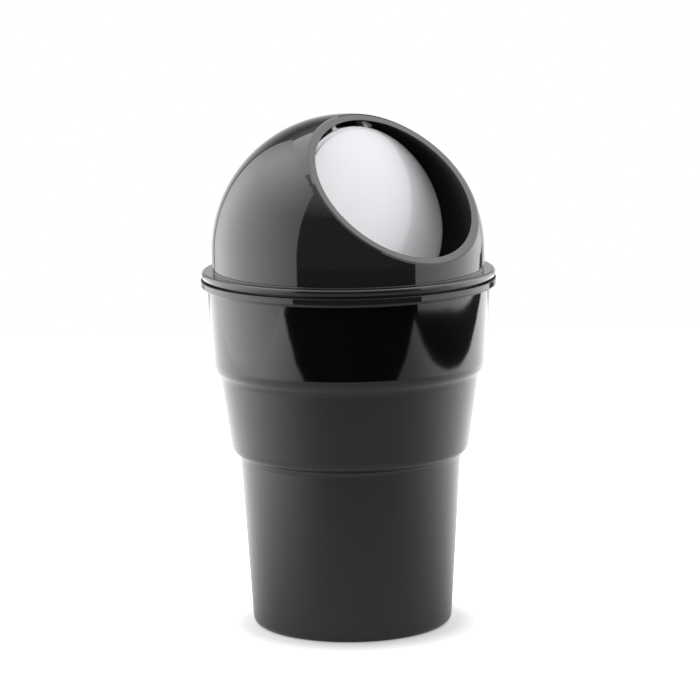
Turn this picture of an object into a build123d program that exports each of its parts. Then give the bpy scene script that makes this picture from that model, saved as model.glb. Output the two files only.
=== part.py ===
# Car trash bin for a cup holder: a stepped cup, a lift-off dome lid and a sprung flap in the lid's mouth.
# The origin is the centre of the foot, +Z is up, and the mouth faces -Y.
import os
from math import asin, atan2, cos, degrees, radians, sin, sqrt, tan

from build123d import *

# Cup: three tapered tiers on a rounded foot, under an outward rim with a rebate for the seam
foot_radius = 27.85
foot_round = 2.0
foot_ring_width = 4.2
foot_recess = 1.2
lower_height = 48.1
lower_draft = 3.6
lower_ledge = 2.15
lower_ledge_rise = 1.6
middle_height = 21.3
middle_draft = 8.1
middle_ledge = 1.97
middle_ledge_rise = 2.25
upper_height = 22.3
upper_draft = 3.1
rim_overhang = 1.75
rim_thickness = 2.7
seam_height = 0.65
seam_depth = 2.0
seam_round = 0.15
cup_wall = 1.8
floor_thickness = 2.0
ledge_nose_share = 0.5
ledge_root_share = 0.35
floor_round = 2.5
edge_round = 0.5

# Dome lid: a hemisphere on a short straight wall, a flange as wide as the rim, a skirt in the cup's mouth
flange_thickness = 1.8
flange_draft = 11.5
flange_ledge = 3.19
dome_stand = 5.24
dome_wall = 1.6
skirt_depth = 6.0
skirt_wall = 1.4
skirt_clearance = 0.35
flange_round = 0.8
flange_root_round = 0.2

# Mouth: a round opening in the dome with a flat lip, its axis tilted up from -Y
mouth_tilt = 43.97
mouth_radius = 24.04
lip_width = 2.33
lip_round = 0.25
lip_bevel = 0.35
lip_bevel_angle = 22.0

# Flap: a crowned disc behind the mouth, hinged under the dome's crown
flap_overlap = 0.46
flap_lean = 22.27
flap_drop = 0.3
flap_forward = 2.89
brim_width = 1.3
brim_thickness = 1.4
brim_round = 0.3
flap_step = 0.6
flap_crown = 1.2
flap_wall = 1.4

# Hinge: a pin through two lugs of the lid and two ears of the flap, with a torsion spring between the ears
hinge_set_back = 6.18
pin_radius = 0.6
pin_fit = 0.02
pin_running_fit = 0.06
pin_end = 0.4
pin_chamfer = 0.15
ear_spacing = 11.4
ear_thickness = 1.4
ear_reach = 5.0
ear_nose = 1.6
knuckle_radius = 1.5
hinge_clearance = 0.35
lug_clearance = 0.3
lug_thickness = 2.0
lug_radius = 1.7
wire_radius = 0.2
coil_turns = 5
coil_pitch = 0.46
coil_clearance = 0.12
coil_centre_x = 2.2
flap_leg_length = 9.0
leg_clearance = 0.3

# Levels and radii of the cup, from the foot up
middle_base_z = lower_height + lower_ledge_rise
middle_top_z = middle_base_z + middle_height
upper_base_z = middle_top_z + middle_ledge_rise
rim_bottom_z = upper_base_z + upper_height
rim_top_z = rim_bottom_z + rim_thickness
seam_z = rim_top_z - seam_height
floor_top_z = foot_recess + floor_thickness
lower_slope = tan(radians(lower_draft))
middle_slope = tan(radians(middle_draft))
upper_slope = tan(radians(upper_draft))
lower_top_radius = foot_radius + lower_height * lower_slope
middle_base_radius = lower_top_radius + lower_ledge
middle_top_radius = middle_base_radius + middle_height * middle_slope
upper_base_radius = middle_top_radius + middle_ledge
upper_top_radius = upper_base_radius + upper_height * upper_slope
rim_radius = upper_top_radius + rim_overhang


def lower_inside(z):
    return foot_radius + z * lower_slope - cup_wall


def middle_inside(z):
    return middle_base_radius + (z - middle_base_z) * middle_slope - cup_wall


def upper_inside(z):
    return upper_base_radius + (z - upper_base_z) * upper_slope - cup_wall


def inside_lift(overhang, rise):
    # How far the inside of a sloping ledge lies above its outside, for an even wall
    return cup_wall * tan(atan2(overhang, rise) / 2)


def ledge_round(wall_end, corner, ledge_end, share):
    # The round that takes up the given share of the ledge, at the corner between wall and ledge
    wall = Vector(*corner) - Vector(*wall_end)
    ledge = Vector(*ledge_end) - Vector(*corner)
    return share * ledge.length / tan(radians(wall.get_angle(ledge)) / 2)


# Places of the lid, the mouth, the hinge and the flap
flange_top_z = rim_top_z + flange_thickness
flange_base_radius = rim_radius - flange_thickness * tan(radians(flange_draft))
dome_radius = rim_radius - flange_ledge
dome_inner_radius = dome_radius - dome_wall
dome_centre = Vector(0, 0, flange_top_z + dome_stand)
skirt_bottom_z = rim_top_z - skirt_depth
lip_radius = mouth_radius + lip_width
lip_distance = sqrt(dome_radius**2 - lip_radius**2)
ear_inner_x = (ear_spacing - ear_thickness) / 2
ear_outer_x = ear_inner_x + ear_thickness
lug_inner_x = ear_outer_x + lug_clearance
lug_outer_x = lug_inner_x + lug_thickness
flap_radius = mouth_radius + flap_overlap
cap_radius = flap_radius - brim_width


def up_from_front(angle):
    return Vector(0, -cos(radians(angle)), sin(radians(angle)))


mouth_direction = up_from_front(mouth_tilt)
flap_direction = up_from_front(mouth_tilt - flap_lean)
flap_down = up_from_front(mouth_tilt - flap_lean - 90)
hinge_angle = mouth_tilt + degrees(asin(mouth_radius / dome_inner_radius)) + hinge_set_back
hinge_radius = sqrt(dome_inner_radius**2 - ear_outer_x**2) - hinge_clearance - knuckle_radius
hinge = dome_centre + up_from_front(hinge_angle) * hinge_radius
flap_centre = hinge + flap_down * (flap_drop + flap_radius) + flap_direction * flap_forward


def section_plane(origin, direction):
    # The plane through X and the given direction, which is its local Y
    return Plane(origin=origin, x_dir=(1, 0, 0), z_dir=Vector(1, 0, 0).cross(direction))


def in_hinge_plane(point):
    return (point.Y, point.Z)


os.makedirs("parts", exist_ok=True)

# Cup
lower_base = (foot_radius, 0)
lower_top = (lower_top_radius, lower_height)
middle_base = (middle_base_radius, middle_base_z)
middle_top = (middle_top_radius, middle_top_z)
upper_base = (upper_base_radius, upper_base_z)
upper_top = (upper_top_radius, rim_bottom_z)
lower_lift = inside_lift(lower_ledge, lower_ledge_rise)
middle_lift = inside_lift(middle_ledge, middle_ledge_rise)
inner_mouth = (upper_inside(rim_top_z), rim_top_z)
inner_upper_base = (upper_inside(upper_base_z + middle_lift), upper_base_z + middle_lift)
inner_middle_top = (middle_inside(middle_top_z + middle_lift), middle_top_z + middle_lift)
inner_middle_base = (middle_inside(middle_base_z + lower_lift), middle_base_z + lower_lift)
inner_lower_top = (lower_inside(lower_height + lower_lift), lower_height + lower_lift)
inner_foot = (lower_inside(floor_top_z), floor_top_z)
cup_outline = [
    ((0, foot_recess), 0),
    ((foot_radius - foot_ring_width, foot_recess), edge_round),
    ((foot_radius - foot_ring_width, 0), edge_round),
    (lower_base, foot_round),
    (lower_top, ledge_round(lower_base, lower_top, middle_base, ledge_root_share)),
    (middle_base, ledge_round(middle_top, middle_base, lower_top, ledge_nose_share)),
    (middle_top, ledge_round(middle_base, middle_top, upper_base, ledge_root_share)),
    (upper_base, ledge_round(upper_top, upper_base, middle_top, ledge_nose_share)),
    (upper_top, edge_round),
    ((rim_radius, rim_bottom_z), edge_round),
    ((rim_radius, seam_z), seam_round),
    ((rim_radius - seam_depth, seam_z), 0),
    ((rim_radius - seam_depth, rim_top_z), 0),
    (inner_mouth, edge_round),
    (inner_upper_base, ledge_round(inner_mouth, inner_upper_base, inner_middle_top, ledge_root_share)),
    (inner_middle_top, ledge_round(inner_middle_base, inner_middle_top, inner_upper_base, ledge_nose_share)),
    (inner_middle_base, ledge_round(inner_middle_top, inner_middle_base, inner_lower_top, ledge_root_share)),
    (inner_lower_top, ledge_round(inner_foot, inner_lower_top, inner_middle_base, ledge_nose_share)),
    (inner_foot, floor_round),
    ((0, floor_top_z), 0),
]
with BuildPart() as cup:
    with BuildSketch(Plane.XZ):
        with BuildLine():
            FilletPolyline(
                *[point for point, rounding in cup_outline],
                radius=[rounding for point, rounding in cup_outline],
                close=True,
            )
        make_face()
    revolve(axis=Axis.Z)
cup.part.label = "cup"
export_step(cup.part, "parts/cup.step")

# Cutter for the mouth, turned about its axis: the hole, the flat of the lip and the easing of both edges
bevel_start = lip_radius - lip_bevel
bevel_run = dome_wall + lip_bevel
cutter_outline = [
    ((0, 0), 0),
    ((mouth_radius, 0), 0),
    ((mouth_radius, lip_distance), lip_round),
    ((bevel_start, lip_distance), lip_bevel),
    ((bevel_start + bevel_run, lip_distance - bevel_run * tan(radians(lip_bevel_angle))), 0),
    ((bevel_start + bevel_run, dome_radius + dome_wall), 0),
    ((0, dome_radius + dome_wall), 0),
]
with BuildPart() as mouth_cutter:
    with BuildSketch(section_plane(dome_centre, mouth_direction)):
        with BuildLine():
            FilletPolyline(
                *[point for point, rounding in cutter_outline],
                radius=[rounding for point, rounding in cutter_outline],
                close=True,
            )
        make_face()
    revolve(axis=Axis(dome_centre, mouth_direction))

# Hinge lugs: two tabs that hang from the dome's wall on either side of the ears
with BuildPart() as lugs:
    with BuildSketch(Plane.YZ.offset(lug_inner_x)):
        with Locations(in_hinge_plane(hinge)):
            Circle(lug_radius)
        with Locations((hinge.Y, dome_centre.Z + dome_radius)):
            Rectangle(2 * lug_radius, dome_wall)
        make_hull()
        with Locations(in_hinge_plane(hinge)):
            Circle(pin_radius + pin_fit, mode=Mode.SUBTRACT)
    extrude(amount=lug_thickness)
    with Locations(dome_centre):
        Sphere(dome_radius - dome_wall / 2, mode=Mode.INTERSECT)
    mirror(about=Plane.YZ)

# Dome lid
skirt_top_radius = upper_inside(rim_top_z) - skirt_clearance
skirt_bottom_radius = upper_inside(skirt_bottom_z) - skirt_clearance
skirt_inner_radius = min(skirt_bottom_radius - skirt_wall, dome_inner_radius)
with BuildPart() as dome_lid:
    with BuildSketch(Plane.XZ):
        with BuildLine():
            FilletPolyline(
                (dome_radius, dome_centre.Z),
                (dome_radius, flange_top_z),
                (rim_radius, flange_top_z),
                (flange_base_radius, rim_top_z),
                (skirt_top_radius, rim_top_z),
                (skirt_bottom_radius, skirt_bottom_z),
                (skirt_inner_radius, skirt_bottom_z),
                (skirt_inner_radius, flange_top_z),
                (dome_inner_radius, dome_centre.Z),
                radius=[flange_root_round, flange_round, seam_round, 0, edge_round, edge_round, 0],
            )
            CenterArc((0, dome_centre.Z), dome_radius, 0, 90)
            Line((0, dome_centre.Z + dome_radius), (0, dome_centre.Z + dome_inner_radius))
            CenterArc((0, dome_centre.Z), dome_inner_radius, 0, 90)
        make_face()
    revolve(axis=Axis.Z)
    add(mouth_cutter.part, mode=Mode.SUBTRACT)
    add(lugs.part)
dome_lid.part.label = "dome_lid"
export_step(dome_lid.part, "parts/dome_lid.step")

# Flap ears: knuckles on the pin, a nose that stops against the dome, and a rib down the back of the disc
flap_edge = flap_centre - flap_down * flap_radius
ear_drop = flap_radius - sqrt(flap_radius**2 - ear_outer_x**2)
nose = hinge + Vector(0, -ear_nose, dome_inner_radius - hinge_radius)
brow = flap_edge + flap_down * (ear_drop + brim_round) - flap_direction * brim_round
root = flap_edge + flap_down * ear_reach
with BuildPart() as ears:
    with BuildSketch(Plane.YZ.offset(ear_inner_x)):
        with BuildLine():
            Polyline(in_hinge_plane(nose), in_hinge_plane(brow), in_hinge_plane(root))
        with Locations(in_hinge_plane(hinge)):
            Circle(knuckle_radius)
        make_hull()
    extrude(amount=ear_thickness)
    with Locations(dome_centre):
        Sphere(dome_inner_radius - hinge_clearance, mode=Mode.INTERSECT)
    mirror(about=Plane.YZ)

# Flap
cap_curve = (cap_radius**2 + flap_crown**2) / (2 * flap_crown)
cap_centre = flap_step + flap_crown - cap_curve
cap_angle = degrees(asin(cap_radius / cap_curve))
hollow_radius = cap_radius - flap_wall
hollow_curve = cap_curve - flap_wall
hollow_angle = degrees(asin(hollow_radius / hollow_curve))
with BuildPart() as flap:
    with BuildSketch(section_plane(flap_centre, flap_direction)):
        with BuildLine():
            cap = CenterArc((0, cap_centre), cap_curve, 90 - cap_angle, cap_angle)
            hollow = CenterArc((0, cap_centre), hollow_curve, 90 - hollow_angle, hollow_angle)
            FilletPolyline(
                cap @ 0,
                (cap_radius, 0),
                (flap_radius, 0),
                (flap_radius, -brim_thickness),
                (hollow_radius, -brim_thickness),
                hollow @ 0,
                radius=[0, brim_round, brim_round, brim_round],
            )
            Line(cap @ 1, hollow @ 1)
        make_face()
    revolve(axis=Axis(flap_centre, flap_direction))
    add(ears.part)
    with BuildSketch(Plane.YZ):
        with Locations(in_hinge_plane(hinge)):
            Circle(pin_radius + pin_running_fit)
    extrude(amount=ear_outer_x, both=True, mode=Mode.SUBTRACT)
flap.part.label = "flap"
export_step(flap.part, "parts/flap.step")

# Hinge pin
pin_length = 2 * (lug_outer_x + pin_end)
with BuildPart() as hinge_pin:
    with BuildSketch(Plane.YZ.offset(-pin_length / 2)):
        with Locations(in_hinge_plane(hinge)):
            Circle(pin_radius)
    extrude(amount=pin_length)
    chamfer(hinge_pin.edges().filter_by(GeomType.CIRCLE), pin_chamfer)
hinge_pin.part.label = "hinge_pin"
export_step(hinge_pin.part, "parts/hinge_pin.step")

# Torsion spring: a coil over the pin, with one leg against the dome behind it and one against the flap
coil_radius = pin_radius + coil_clearance + wire_radius
part_turn = (90 - (mouth_tilt - flap_lean)) / 360
coil_length = (coil_turns + part_turn) * coil_pitch
coil_start = hinge + Vector(coil_centre_x - coil_length / 2, 0, 0)
coil_plane = Plane(origin=coil_start, x_dir=(0, 0, 1), z_dir=(1, 0, 0))
coil = coil_plane.location * Helix(coil_pitch, coil_length, coil_radius)
leg_height = hinge.Z + coil_radius - dome_centre.Z
leg_tip_radius = dome_inner_radius - wire_radius - leg_clearance
dome_leg_length = sqrt(leg_tip_radius**2 - leg_height**2) - hinge.Y
with BuildPart() as torsion_spring:
    with BuildLine() as spring_path:
        Line(coil @ 0 - (coil % 0) * dome_leg_length, coil @ 0)
        add(coil)
        Line(coil @ 1, coil @ 1 + (coil % 1) * flap_leg_length)
    with BuildSketch(Plane(origin=spring_path.line @ 0, z_dir=spring_path.line % 0)):
        Circle(wire_radius)
    sweep(path=spring_path.line)
torsion_spring.part.label = "torsion_spring"
export_step(torsion_spring.part, "parts/torsion_spring.step")
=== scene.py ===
import bmesh
import bpy
import math
from mathutils import Matrix, Vector


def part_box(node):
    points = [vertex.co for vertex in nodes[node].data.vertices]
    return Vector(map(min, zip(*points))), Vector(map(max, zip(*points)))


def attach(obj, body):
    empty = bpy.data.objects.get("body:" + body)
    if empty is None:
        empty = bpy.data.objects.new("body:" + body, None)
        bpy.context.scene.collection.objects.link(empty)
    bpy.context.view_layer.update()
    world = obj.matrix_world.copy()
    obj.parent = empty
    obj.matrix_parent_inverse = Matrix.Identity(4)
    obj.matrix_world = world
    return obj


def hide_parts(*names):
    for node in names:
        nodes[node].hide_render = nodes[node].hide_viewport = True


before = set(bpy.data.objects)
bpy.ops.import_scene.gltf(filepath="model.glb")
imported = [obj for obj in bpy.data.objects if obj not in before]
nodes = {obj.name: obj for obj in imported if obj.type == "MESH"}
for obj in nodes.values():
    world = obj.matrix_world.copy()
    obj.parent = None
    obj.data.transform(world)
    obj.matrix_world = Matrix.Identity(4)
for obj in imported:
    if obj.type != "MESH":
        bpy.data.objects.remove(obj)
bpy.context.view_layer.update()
print("bin loaded:", sorted(nodes))


def linearColour(hexCode):
    values = [int(hexCode[i:i + 2], 16) / 255 for i in (0, 2, 4)]
    return [v / 12.92 if v <= 0.04045 else ((v + 0.055) / 1.055) ** 2.4 for v in values] + [1.0]


def addNode(tree, kind, values=None, links=None, **settings):
    node = tree.nodes.new(kind)
    for name, value in settings.items():
        setattr(node, name, value)
    for name, value in (values or {}).items():
        node.inputs[name].default_value = value
    for name, source in (links or {}).items():
        tree.links.new(source, node.inputs[name])
    return node


def newMaterial(name):
    material = bpy.data.materials.new(name)
    material.use_nodes = True
    material.node_tree.nodes.clear()
    return material, material.node_tree


def paint(piece, material):
    piece.data.materials.clear()
    piece.data.materials.append(material)


# Moulded black ABS. The tool is polished or spark-textured on the outside. The core that forms the inside is
# left unpolished, and the inside faces are painted a lighter grey, as painted light for the light that
# reaches them.
lidFinishAndPaintedInsideLight = {
    "colour": "0d0d0e",
    # painted light: the inside is much lighter than the black outside, for the light that reaches it through
    # the mouth
    "insidePaintedLightColour": "6e6e6f",
    "polishedRoughness": 0.05,
    "satinRoughness": 0.05,  # the lid has no textured part
    "insideRoughness": 0.50,
    "ior": 1.6,
    "middleMm": (0.0, 0.0, 99.2),  # in the flange; a face turned towards this point is on the inside
    "dullAndPaintedLighterAboveMm": 999.0,  # the lid is polished up to its top
    "changeZMm": 0.0,
    "changeMm": 0.3,
    "swellMm": 18.0,  # width of one swell that the mould leaves in the skin
    "swellDepthMm": 0.004,
    "grainMm": 0.35,
    "grainDepthMm": 0.003,
}
cupFinishAndPaintedInsideLight = {
    "colour": "0d0d0e",
    # painted light: the inside and the rebate are a lighter grey than the black outside
    "insidePaintedLightColour": "1c1c1d",
    "polishedRoughness": 0.05,
    "satinRoughness": 0.28,
    "insideRoughness": 0.45,
    "ior": 1.6,
    "middleMm": (0.0, 0.0, 97.0),  # in the rim
    "dullAndPaintedLighterAboveMm": 97.46,  # the rebate under the lid's flange is not polished, so the seam stays black
    "changeZMm": 73.7,  # polish turns to texture under the nose of the upper ledge
    "changeMm": 0.3,
    "swellMm": 7.0,  # the thick upper tier sinks more, so its mirror wobbles
    "swellDepthMm": 0.009,
    "grainMm": 0.35,  # real texture is nearer 0.1 mm, drawn coarser so that it shows
    "grainDepthMm": 0.003,
}


def mouldedAbs(name, look):
    material, tree = newMaterial(name)
    place = addNode(tree, "ShaderNodeTexCoord")
    axes = addNode(tree, "ShaderNodeSeparateXYZ", None, {"Vector": place.outputs["Object"]})
    textured = addNode(tree, "ShaderNodeMapRange",
                       {"From Min": (look["changeZMm"] + look["changeMm"] / 2) / 1000,
                        "From Max": (look["changeZMm"] - look["changeMm"] / 2) / 1000},
                       {"Value": axes.outputs["Z"]})
    middle = [value / 1000 for value in look["middleMm"]]
    outward = addNode(tree, "ShaderNodeVectorMath", {1: middle}, {0: place.outputs["Object"]},
                      operation="SUBTRACT")
    facing = addNode(tree, "ShaderNodeVectorMath", None,
                     {0: outward.outputs["Vector"], 1: place.outputs["Normal"]}, operation="DOT_PRODUCT")
    inside = addNode(tree, "ShaderNodeMath", {1: 0.0}, {0: facing.outputs["Value"]}, operation="LESS_THAN")
    inRebate = addNode(tree, "ShaderNodeMath", {1: look["dullAndPaintedLighterAboveMm"] / 1000}, {0: axes.outputs["Z"]},
                       operation="GREATER_THAN")
    dullAndPaintedLighter = addNode(tree, "ShaderNodeMath", None, {0: inside.outputs[0], 1: inRebate.outputs[0]},
                   operation="MAXIMUM")
    outsideRoughness = addNode(tree, "ShaderNodeMapRange",
                               {"To Min": look["polishedRoughness"], "To Max": look["satinRoughness"]},
                               {"Value": textured.outputs["Result"]})
    roughness = addNode(tree, "ShaderNodeMapRange", {"To Max": look["insideRoughness"]},
                        {"Value": dullAndPaintedLighter.outputs[0], "To Min": outsideRoughness.outputs["Result"]})
    # painted light: faces on the inside and in the rebate take the lighter inside colour, the rest keep the
    # black
    colour = addNode(tree, "ShaderNodeMix",
                     {6: linearColour(look["colour"]), 7: linearColour(look["insidePaintedLightColour"])},
                     {0: dullAndPaintedLighter.outputs[0]}, data_type="RGBA")
    swell = addNode(tree, "ShaderNodeTexNoise", {"Scale": 1000 / look["swellMm"], "Detail": 0.0},
                    {"Vector": place.outputs["Object"]})
    wavy = addNode(tree, "ShaderNodeBump", {"Strength": 1.0, "Distance": look["swellDepthMm"] / 1000},
                   {"Height": swell.outputs["Fac"]})
    grain = addNode(tree, "ShaderNodeTexNoise", {"Scale": 1000 / look["grainMm"], "Detail": 2.0},
                    {"Vector": place.outputs["Object"]})
    grainy = addNode(tree, "ShaderNodeBump", {"Distance": look["grainDepthMm"] / 1000},
                     {"Height": grain.outputs["Fac"], "Strength": textured.outputs["Result"],
                      "Normal": wavy.outputs["Normal"]})
    plastic = addNode(tree, "ShaderNodeBsdfPrincipled", {"IOR": look["ior"]},
                      {"Base Color": colour.outputs[2], "Roughness": roughness.outputs["Result"],
                       "Normal": grainy.outputs["Normal"]})
    addNode(tree, "ShaderNodeOutputMaterial", None, {"Surface": plastic.outputs["BSDF"]})
    return material


# Silver paint on the flap: fine aluminium flakes under a clear lacquer, soft underneath and shiny on top.
flapFinish = {
    "colour": "e0e1e4",
    "metallic": 0.15,
    "roughness": 0.45,
    "roughnessSpread": 0.08,
    "flakeMm": 0.25,  # real flakes are nearer 0.03 mm, drawn coarser so that they show
    "lacquerRoughness": 0.10,
    "crownMiddleMm": (0.0, 196.45, 34.59),  # of the sphere that the crown is part of
    "crownTopMm": (0.0, -12.48, 117.74),
    "crownTopRadiusMm": 5.0,
}


def silverPaint(look):
    material, tree = newMaterial("lacqueredSilverPaint")
    place = addNode(tree, "ShaderNodeTexCoord")
    flakes = addNode(tree, "ShaderNodeTexNoise", {"Scale": 1000 / look["flakeMm"], "Detail": 1.0},
                     {"Vector": place.outputs["Object"]})
    roughness = addNode(tree, "ShaderNodeMapRange",
                        {"To Min": look["roughness"] - look["roughnessSpread"],
                         "To Max": look["roughness"] + look["roughnessSpread"]},
                        {"Value": flakes.outputs["Fac"]})
    # Round the crown's top, where thin facets meet in one point, the sphere itself gives the slope.
    surface = addNode(tree, "ShaderNodeNewGeometry")
    crownMiddle = [value / 1000 for value in look["crownMiddleMm"]]
    crownTop = [value / 1000 for value in look["crownTopMm"]]
    fromMiddle = addNode(tree, "ShaderNodeVectorMath", {1: crownMiddle}, {0: place.outputs["Object"]},
                         operation="SUBTRACT")
    crownSlope = addNode(tree, "ShaderNodeVectorTransform", None, {"Vector": fromMiddle.outputs["Vector"]},
                         vector_type="NORMAL", convert_from="OBJECT", convert_to="WORLD")
    fromTop = addNode(tree, "ShaderNodeVectorMath", {1: crownTop}, {0: place.outputs["Object"]},
                      operation="DISTANCE")
    nearTop = addNode(tree, "ShaderNodeMath", {1: look["crownTopRadiusMm"] / 1000},
                      {0: fromTop.outputs["Value"]}, operation="LESS_THAN")
    alike = addNode(tree, "ShaderNodeVectorMath", None,
                    {0: crownSlope.outputs["Vector"], 1: surface.outputs["True Normal"]},
                    operation="DOT_PRODUCT")
    onFront = addNode(tree, "ShaderNodeMath", {1: 0.0}, {0: alike.outputs["Value"]},
                      operation="GREATER_THAN")
    onTop = addNode(tree, "ShaderNodeMath", None, {0: nearTop.outputs[0], 1: onFront.outputs[0]},
                    operation="MULTIPLY")
    slope = addNode(tree, "ShaderNodeMix", None,
                    {0: onTop.outputs[0], 4: surface.outputs["Normal"], 5: crownSlope.outputs["Vector"]},
                    data_type="VECTOR")
    silver = addNode(tree, "ShaderNodeBsdfPrincipled",
                     {"Base Color": linearColour(look["colour"]), "Metallic": look["metallic"],
                      "Coat Weight": 1.0, "Coat Roughness": look["lacquerRoughness"]},
                     {"Roughness": roughness.outputs["Result"], "Normal": slope.outputs[1],
                      "Coat Normal": slope.outputs[1]})
    addNode(tree, "ShaderNodeOutputMaterial", None, {"Surface": silver.outputs["BSDF"]})
    return material


# Drawn steel: die lines run along the pin. The spring wire is painted darker, as painted shade of the gap it
# sits in.
steelFinishAndSpringShade = {
    "pin": "9a9a9c",
    # painted shade: the spring is darker than the pin, for the shaded gap it sits in
    "spring": "5a5a5c",
    "roughness": 0.25,
    "roughnessSpread": 0.10,
    "lineMm": 0.12,
    "lineStretch": 0.02,
}


def drawnSteel(name, colour, look):
    material, tree = newMaterial(name)
    place = addNode(tree, "ShaderNodeTexCoord")
    along = addNode(tree, "ShaderNodeMapping", {"Scale": (look["lineStretch"], 1, 1)},
                    {"Vector": place.outputs["Object"]})
    lines = addNode(tree, "ShaderNodeTexNoise", {"Scale": 1000 / look["lineMm"], "Detail": 2.0},
                    {"Vector": along.outputs["Vector"]})
    roughness = addNode(tree, "ShaderNodeMapRange",
                        {"To Min": look["roughness"] - look["roughnessSpread"],
                         "To Max": look["roughness"] + look["roughnessSpread"]},
                        {"Value": lines.outputs["Fac"]})
    metal = addNode(tree, "ShaderNodeBsdfPrincipled", {"Base Color": linearColour(colour), "Metallic": 1.0},
                    {"Roughness": roughness.outputs["Result"]})
    addNode(tree, "ShaderNodeOutputMaterial", None, {"Surface": metal.outputs["BSDF"]})
    return material


paint(nodes["dome_lid"], mouldedAbs("polishedMouldedAbs", lidFinishAndPaintedInsideLight))
paint(nodes["cup"], mouldedAbs("polishedAndSparkTexturedAbs", cupFinishAndPaintedInsideLight))
paint(nodes["flap"], silverPaint(flapFinish))
paint(nodes["hinge_pin"], drawnSteel("drawnSteelPin", steelFinishAndSpringShade["pin"], steelFinishAndSpringShade))
# the spring's darker colour is painted shade
springSteel = drawnSteel("shadeDarkenedSpringWire", steelFinishAndSpringShade["spring"], steelFinishAndSpringShade)
print("finishes on")

# Torsion spring in two pieces that share a coil about the pin.
# One leg stays with the lid, and the other goes with the flap.
spring = {
    "wireMm": 0.2,
    "coilMm": 0.92,
    "pitchMm": 0.46,
    "startMm": 1.006,  # where the coil starts, across from the bin's middle
    "lidTurns": 3.0,
    "flapTurns": 2.19,
    "tailTurns": 0.2,  # of the flap's half, hidden in the lid's half until the flap swings
    "tailWireMm": 0.19,
    "lidLegMm": 7.4,
    "flapLegMm": 9.0,
    "sides": 10,
    "stepsPerTurn": 32,
}
pinLow, pinHigh = (Vector(corner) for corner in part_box("hinge_pin"))
pinMiddle = (pinLow + pinHigh) / 2
coilRadius = spring["coilMm"] / 1000
lead = spring["pitchMm"] / 1000 / (2 * math.pi)


def coilPoint(turns):
    angle = 2 * math.pi * turns
    place = Vector(((spring["startMm"] + spring["pitchMm"] * turns) / 1000,
                    pinMiddle.y - coilRadius * math.sin(angle), pinMiddle.z + coilRadius * math.cos(angle)))
    heading = Vector((lead, -coilRadius * math.cos(angle), -coilRadius * math.sin(angle))).normalized()
    return place, heading


def startWire(turns, wireMm):
    place, heading = coilPoint(turns)
    mesh = bmesh.new()
    turn = Vector((0, 0, 1)).rotation_difference(heading).to_matrix().to_4x4()
    ring = bmesh.ops.create_circle(mesh, segments=spring["sides"], radius=wireMm / 1000,
                                   matrix=Matrix.Translation(place) @ turn)
    return mesh, list({edge for vert in ring["verts"] for edge in vert.link_edges})


def pullStraight(mesh, edges, step):
    pulled = bmesh.ops.extrude_edge_only(mesh, edges=edges)["geom"]
    verts = [item for item in pulled if isinstance(item, bmesh.types.BMVert)]
    bmesh.ops.translate(mesh, vec=step, verts=verts)
    return [item for item in pulled if isinstance(item, bmesh.types.BMEdge) and item.is_boundary]


def windCoil(mesh, edges, turns):
    steps = round(turns * spring["stepsPerTurn"])
    wound = bmesh.ops.spin(mesh, geom=edges, cent=pinMiddle, axis=(1, 0, 0), angle=2 * math.pi * turns,
                           steps=steps, dvec=(spring["pitchMm"] / 1000 * turns / steps, 0, 0))
    return [item for item in wound["geom_last"] if isinstance(item, bmesh.types.BMEdge)]


def finishWire(name, mesh, body):
    bmesh.ops.holes_fill(mesh, edges=[edge for edge in mesh.edges if edge.is_boundary], sides=0)
    bmesh.ops.recalc_face_normals(mesh, faces=mesh.faces)
    for face in mesh.faces:
        face.smooth = len(face.verts) == 4
    data = bpy.data.meshes.new(name)
    mesh.to_mesh(data)
    mesh.free()
    piece = bpy.data.objects.new(name, data)
    bpy.context.scene.collection.objects.link(piece)
    paint(piece, springSteel)
    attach(piece, body)
    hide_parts("torsion_spring")


wire, edges = startWire(0, spring["wireMm"])
lidLeg = coilPoint(0)[1] * spring["lidLegMm"] / 1000
bmesh.ops.translate(wire, vec=-lidLeg, verts=wire.verts)
edges = pullStraight(wire, edges, lidLeg)
windCoil(wire, edges, spring["lidTurns"])
finishWire("springLidHalf", wire, "lid")

lastTurn = spring["lidTurns"] + spring["flapTurns"]
wire, edges = startWire(spring["lidTurns"] - spring["tailTurns"], spring["tailWireMm"])
edges = windCoil(wire, edges, spring["tailTurns"] + spring["flapTurns"])
pullStraight(wire, edges, coilPoint(lastTurn)[1] * spring["flapLegMm"] / 1000)
finishWire("springFlapHalf", wire, "flap")
print("spring wound")

# Studio: x to the camera's right, y away from the camera, z up.
# It is turned about the bin by the photograph's angle.
studio = {
    "turnDeg": -40.98,
    "cameraDistance": 0.880,
    "cameraHeight": 0.2267,
    "cameraPitchDeg": 9.65,
    "cameraYawDeg": 0.012,
    "cameraRollDeg": -0.739,
    "focalPixels": 3200.0,
    "framePixels": 700.0,
    "sensorMm": 36.0,
    "floorCorners": ((-0.325, -0.24), (0.300, -0.232), (0.385, 0.50), (-0.36, 0.50)),
    "floorFrontMiddle": (0.06, -0.24, 0.0),
    "roomLevel": 0.20,
    "roomFrom": -0.24,  # the room darkens between these heights, as the upward part of a direction
    "roomTo": -0.10,
    "ceilingLevel": 1.00,
    "ceilingFrom": 0.45,
    "ceilingTo": 0.85,
    "backdropLevel": 1.0,
    "sweepFrom": 0.42,  # the backdrop's side edge, as the sideways part of a direction
    "sweepTo": 0.38,
    "sweepTop": 0.6,
}
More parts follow.
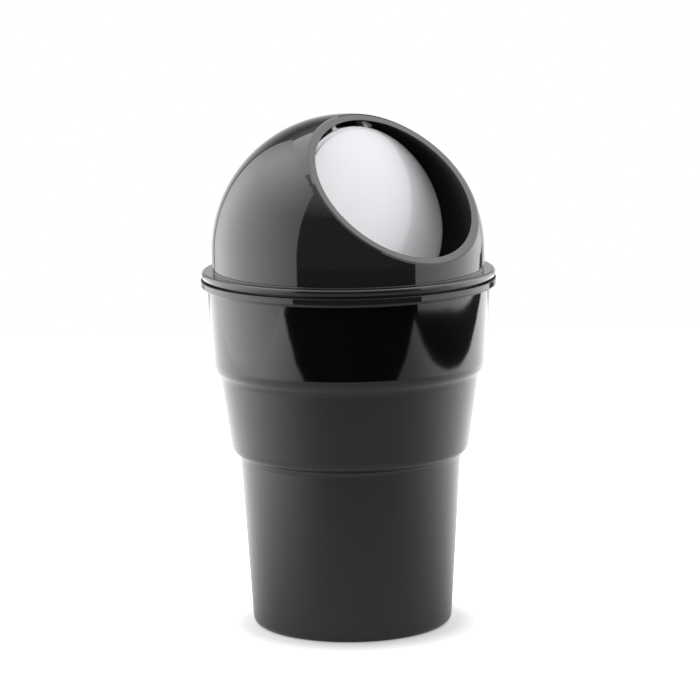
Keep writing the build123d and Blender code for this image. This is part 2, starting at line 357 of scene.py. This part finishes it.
# Radiance at the ends and the middle of each cloth, and the share of it left at the top.
# The lower edge and its sag are shares of the cloth's size.
softboxes = [
    {"name": "softboxLeft", "middle": (-0.50, 0.2025, 0.4725), "facing": (1, 0, 0), "size": (1.495, 1.065),
     "endLevel": 1.35, "middleLevel": 3.05, "topShare": 0.70,
     "lowEdge": 0.0, "sagFrom": 0.0, "sag": 0.0},
    {"name": "softboxRight", "middle": (0.50, 0.3575, 0.433), "facing": (-1, 0, 0), "size": (1.385, 0.966),
     "endLevel": 1.3, "middleLevel": 2.45, "topShare": 0.80,
     "lowEdge": 0.0342, "sagFrom": 0.314, "sag": 0.3575},
    {"name": "softboxTop", "middle": (0.0, 0.345, 1.005), "facing": (0, 0, -1), "size": (1.00, 0.99),
     "endLevel": 1.8, "middleLevel": 1.8, "topShare": 1.0,
     "lowEdge": 0.0, "sagFrom": 0.0, "sag": 0.0},
]
studioTurn = Matrix.Rotation(math.radians(studio["turnDeg"]), 4, "Z")


def placeFacing(middle, facing):
    back = -Vector(facing)
    tall = Vector((0, 0, 1)) if abs(back.z) < 0.9 else Vector((0, 1, 0))
    across = tall.cross(back).normalized()
    pose = Matrix((across, back.cross(across), back)).transposed().to_4x4()
    pose.translation = Vector(middle)
    return studioTurn @ pose


# A softbox is brighter along its middle, where its lamp sits behind the cloth.
for softbox in softboxes:
    width, tall = softbox["size"]
    lamp = bpy.data.lights.new(softbox["name"], "AREA")
    lamp.shape = "RECTANGLE"
    lamp.size = width
    lamp.size_y = tall
    lamp.energy = math.pi * width * tall  # radiance 1 all over, times the strength below
    lamp.use_nodes = True
    cloth = lamp.node_tree
    cloth.nodes.clear()
    onCloth = addNode(cloth, "ShaderNodeNewGeometry")
    fromMiddle = addNode(cloth, "ShaderNodeMapping", {"Location": (-1, 0, 0), "Scale": (2, 0, 0)},
                         {"Vector": onCloth.outputs["Parametric"]})
    spread = addNode(cloth, "ShaderNodeTexGradient", None, {"Vector": fromMiddle.outputs[0]},
                     gradient_type="SPHERICAL")
    level = addNode(cloth, "ShaderNodeMapRange",
                    {"To Min": softbox["endLevel"], "To Max": softbox["middleLevel"]},
                    {"Value": spread.outputs["Fac"]}, interpolation_type="SMOOTHSTEP")
    upCloth = addNode(cloth, "ShaderNodeSeparateXYZ", None, {"Vector": onCloth.outputs["Parametric"]})
    share = addNode(cloth, "ShaderNodeMapRange", {"To Min": 1.0, "To Max": softbox["topShare"]},
                    {"Value": upCloth.outputs["Y"]})
    sagging = addNode(cloth, "ShaderNodeMapRange",
                      {"From Max": softbox["sagFrom"], "To Min": softbox["sagFrom"], "To Max": 0.0},
                      {"Value": upCloth.outputs["X"]})
    drop = addNode(cloth, "ShaderNodeMath", {1: 2.0}, {0: sagging.outputs["Result"]}, operation="POWER")
    edge = addNode(cloth, "ShaderNodeMath", {1: -softbox["sag"], 2: softbox["lowEdge"]}, {0: drop.outputs[0]},
                   operation="MULTIPLY_ADD")
    onIt = addNode(cloth, "ShaderNodeMath", None, {0: upCloth.outputs["Y"], 1: edge.outputs[0]},
                   operation="GREATER_THAN")
    shaded = addNode(cloth, "ShaderNodeMath", None,
                     {0: level.outputs["Result"], 1: share.outputs["Result"]}, operation="MULTIPLY")
    strength = addNode(cloth, "ShaderNodeMath", None, {0: shaded.outputs[0], 1: onIt.outputs[0]},
                       operation="MULTIPLY")
    glow = addNode(cloth, "ShaderNodeEmission", None, {"Strength": strength.outputs[0]})
    addNode(cloth, "ShaderNodeOutputLight", None, {"Surface": glow.outputs[0]})
    lampObject = bpy.data.objects.new(softbox["name"], lamp)
    lampObject.matrix_world = placeFacing(softbox["middle"], softbox["facing"])
    lampObject.visible_camera = False
    bpy.context.scene.collection.objects.link(lampObject)

# The room is dim, dark under the table, with a white sweep behind the bin that fades upwards.
# The camera sees white.
world = bpy.data.worlds.new("studioRoom")
world.use_nodes = True
room = world.node_tree
room.nodes.clear()
direction = addNode(room, "ShaderNodeTexCoord")
height = addNode(room, "ShaderNodeSeparateXYZ", None, {"Vector": direction.outputs["Generated"]})
dimRoom = addNode(room, "ShaderNodeMapRange",
                  {"From Min": studio["roomFrom"], "From Max": studio["roomTo"],
                   "To Max": studio["roomLevel"]},
                  {"Value": height.outputs["Z"]})
ceiling = addNode(room, "ShaderNodeMapRange",
                  {"From Min": studio["ceilingFrom"], "From Max": studio["ceilingTo"],
                   "To Max": studio["ceilingLevel"]},
                  {"Value": height.outputs["Z"]})
across = addNode(room, "ShaderNodeVectorMath", {1: studioTurn @ Vector((1, 0, 0))},
                 {0: direction.outputs["Generated"]}, operation="DOT_PRODUCT")
aside = addNode(room, "ShaderNodeMath", None, {0: across.outputs["Value"]}, operation="ABSOLUTE")
sweepAcross = addNode(room, "ShaderNodeMapRange",
                      {"From Min": studio["sweepFrom"], "From Max": studio["sweepTo"]},
                      {"Value": aside.outputs[0]})
away = addNode(room, "ShaderNodeVectorMath", {1: studioTurn @ Vector((0, 1, 0))},
               {0: direction.outputs["Generated"]}, operation="DOT_PRODUCT")
behind = addNode(room, "ShaderNodeMath", {1: 0.0}, {0: away.outputs["Value"]}, operation="GREATER_THAN")
sweepUp = addNode(room, "ShaderNodeMapRange",
                  {"From Max": studio["sweepTop"], "To Min": studio["backdropLevel"], "To Max": 0.0},
                  {"Value": height.outputs["Z"]})
sweepArea = addNode(room, "ShaderNodeMath", None, {0: sweepAcross.outputs["Result"], 1: behind.outputs[0]},
                    operation="MULTIPLY")
sweep = addNode(room, "ShaderNodeMath", None, {0: sweepArea.outputs[0], 1: sweepUp.outputs["Result"]},
                operation="MULTIPLY")
lit = addNode(room, "ShaderNodeMath", None, {0: dimRoom.outputs["Result"], 1: ceiling.outputs["Result"]},
              operation="MAXIMUM")
level = addNode(room, "ShaderNodeMath", None, {0: lit.outputs[0], 1: sweep.outputs[0]}, operation="MAXIMUM")
rays = addNode(room, "ShaderNodeLightPath")
seen = addNode(room, "ShaderNodeMath", None,
               {0: rays.outputs["Is Camera Ray"], 1: rays.outputs["Is Transmission Ray"]},
               operation="MAXIMUM")
plainWhite = (1, 1, 1, 1)
dim = addNode(room, "ShaderNodeBackground", {"Color": plainWhite}, {"Strength": level.outputs[0]})
white = addNode(room, "ShaderNodeBackground", {"Color": plainWhite, "Strength": 1.0})
choice = addNode(room, "ShaderNodeMixShader", None,
                 {0: seen.outputs[0], 1: dim.outputs[0], 2: white.outputs[0]})
addNode(room, "ShaderNodeOutputWorld", None, {"Surface": choice.outputs[0]})
bpy.context.scene.world = world

# Paper on the table: painted greyer towards the front, as painted shade where the light falls off, and white
# to the camera through a glow, which is painted lower close to the foot to deepen the real shadow there.
# Mirrors see a painted glow that makes it white at the sides and the back.
paperShadeAndGlow = {
    "frontShade": 0.31,
    "backShade": 0.90,
    "shadeFrom": 0.20,
    "shadeTo": 0.40,
    "mirrorGlow": 0.7,
    "mirrorFrom": 0.14,
    "mirrorTo": 0.44,
    "footGlow": 0.38,
    "openGlow": 0.93,
    "footRadius": 0.030,
    "openRadius": 0.043,
}
floorMesh = bmesh.new()
floorCorners = [floorMesh.verts.new(studioTurn @ Vector((*corner, 0))) for corner in studio["floorCorners"]]
floorMesh.faces.new(floorCorners)
floorData = bpy.data.meshes.new("floor")
floorMesh.to_mesh(floorData)
floorMesh.free()
floor = bpy.data.objects.new("floor", floorData)
bpy.context.scene.collection.objects.link(floor)
floorPaint, paper = newMaterial("palePaperFloor")
place = addNode(paper, "ShaderNodeTexCoord")
fromFront = addNode(paper, "ShaderNodeVectorMath", {1: studioTurn @ Vector(studio["floorFrontMiddle"])},
                    {0: place.outputs["Object"]}, operation="DISTANCE")
fromFoot = addNode(paper, "ShaderNodeVectorMath", None, {0: place.outputs["Object"]}, operation="LENGTH")
# painted shade: the paper is greyer towards the front
shade = addNode(paper, "ShaderNodeMapRange",
                {"From Min": paperShadeAndGlow["shadeFrom"], "From Max": paperShadeAndGlow["shadeTo"],
                 "To Min": paperShadeAndGlow["frontShade"], "To Max": paperShadeAndGlow["backShade"]},
                {"Value": fromFront.outputs["Value"]})
# painted light: a glow that only mirrors see, stronger towards the sides and the back
mirrorGlow = addNode(paper, "ShaderNodeMapRange",
                     {"From Min": paperShadeAndGlow["mirrorFrom"], "From Max": paperShadeAndGlow["mirrorTo"],
                      "To Max": paperShadeAndGlow["mirrorGlow"]},
                     {"Value": fromFront.outputs["Value"]})
# white glow for the camera, painted lower close to the foot, which adds a painted shadow ring to the real
# shadow
cameraGlow = addNode(paper, "ShaderNodeMapRange",
                     {"From Min": paperShadeAndGlow["footRadius"], "From Max": paperShadeAndGlow["openRadius"],
                      "To Min": paperShadeAndGlow["footGlow"], "To Max": paperShadeAndGlow["openGlow"]},
                     {"Value": fromFoot.outputs["Value"]})
floorRays = addNode(paper, "ShaderNodeLightPath")
inMirror = addNode(paper, "ShaderNodeMath", None,
                   {0: floorRays.outputs["Is Glossy Ray"], 1: mirrorGlow.outputs["Result"]},
                   operation="MULTIPLY")
glowLevel = addNode(paper, "ShaderNodeMath", None,
                    {0: floorRays.outputs["Is Camera Ray"], 1: cameraGlow.outputs["Result"],
                     2: inMirror.outputs[0]},
                    operation="MULTIPLY_ADD")
matt = addNode(paper, "ShaderNodeBsdfDiffuse", None, {"Color": shade.outputs["Result"]})
glow = addNode(paper, "ShaderNodeEmission", None, {"Strength": glowLevel.outputs[0]})
both = addNode(paper, "ShaderNodeAddShader", None, {0: matt.outputs[0], 1: glow.outputs[0]})
addNode(paper, "ShaderNodeOutputMaterial", None, {"Surface": both.outputs[0]})
paint(floor, floorPaint)

cameraData = bpy.data.cameras.new("camera")
cameraData.sensor_width = studio["sensorMm"]
cameraData.lens = studio["sensorMm"] * studio["focalPixels"] / studio["framePixels"]
pitch, yaw, roll = (math.radians(studio[k]) for k in ("cameraPitchDeg", "cameraYawDeg", "cameraRollDeg"))
ahead = Vector((math.sin(yaw) * math.cos(pitch), math.cos(yaw) * math.cos(pitch), -math.sin(pitch)))
right = ahead.cross(Vector((0, 0, 1))).normalized()
up = right.cross(ahead)
rolledRight = right * math.cos(roll) + up * math.sin(roll)
rolledUp = up * math.cos(roll) - right * math.sin(roll)
cameraPose = Matrix((rolledRight, rolledUp, -ahead)).transposed().to_4x4()
cameraPose.translation = Vector((0, -studio["cameraDistance"], studio["cameraHeight"]))
camera = bpy.data.objects.new("camera", cameraData)
camera.matrix_world = studioTurn @ cameraPose
bpy.context.scene.collection.objects.link(camera)
bpy.context.scene.camera = camera
bpy.context.scene.view_settings.view_transform = "Standard"
print("studio set")
